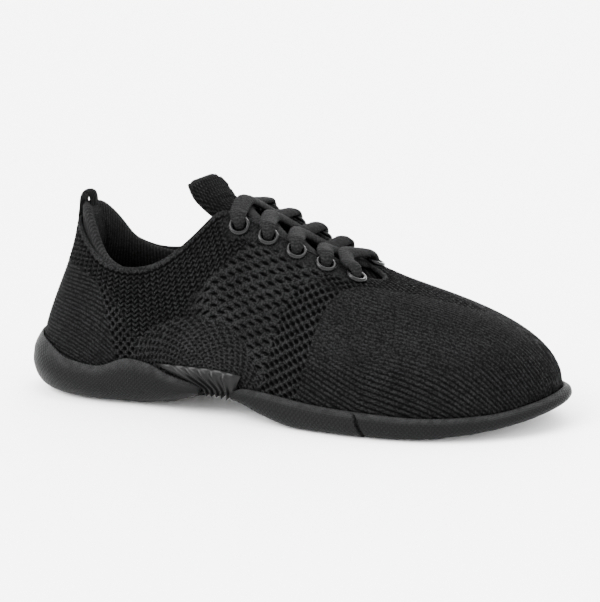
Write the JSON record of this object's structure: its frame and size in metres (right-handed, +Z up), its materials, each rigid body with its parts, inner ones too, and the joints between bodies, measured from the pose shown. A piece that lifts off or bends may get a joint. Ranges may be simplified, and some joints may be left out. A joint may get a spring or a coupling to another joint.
{
  "type": "cheerleading shoe",
  "caption": "Low knit split-sole cheer and dance trainer for the right foot, with separate heel and forefoot soles, a pleated rubber arch, laced throat, padded tongue and heel pull loop.",
  "frame": {"origin": "middle of the shoe's footprint, on the floor it stands on", "axes": "+X from heel to toe, +Y from the outer side of the foot to the inner side, +Z up"},
  "size_m": [0.2498, 0.0912, 0.1009],
  "materials": {
    "knit": "matt black engineered knit",
    "foam": "matt moulded foam with a fine knurl",
    "rubber": "satin solid rubber",
    "sleeve": "smooth glossy rubber",
    "mesh": "padded spacer mesh",
    "lace": "flat tubular braid",
    "eyelet": "gloss black",
    "webbing": "ribbed woven band",
    "lining": "brushed lining"
  },
  "bodies": {
    "root": {"upper": "knit", "heel_sole": "foam", "forefoot_sole": "foam", "heel_tread": "rubber", "arch_sleeve": "sleeve", "insole": "lining", "tongue": "mesh", "collar_pad": "lining", "heel_loop": "webbing", "eyelet_outer_1": "eyelet", "eyelet_outer_2": "eyelet", "eyelet_outer_3": "eyelet", "eyelet_outer_4": "eyelet", "eyelet_outer_5": "eyelet", "eyelet_inner_1": "eyelet", "eyelet_inner_2": "eyelet", "eyelet_inner_3": "eyelet", "eyelet_inner_4": "eyelet", "eyelet_inner_5": "eyelet", "lace_bar": "lace", "lace_crossing_1": "lace", "lace_crossing_2": "lace", "lace_crossing_3": "lace", "lace_crossing_4": "lace"}
  },
  "joints": []
}
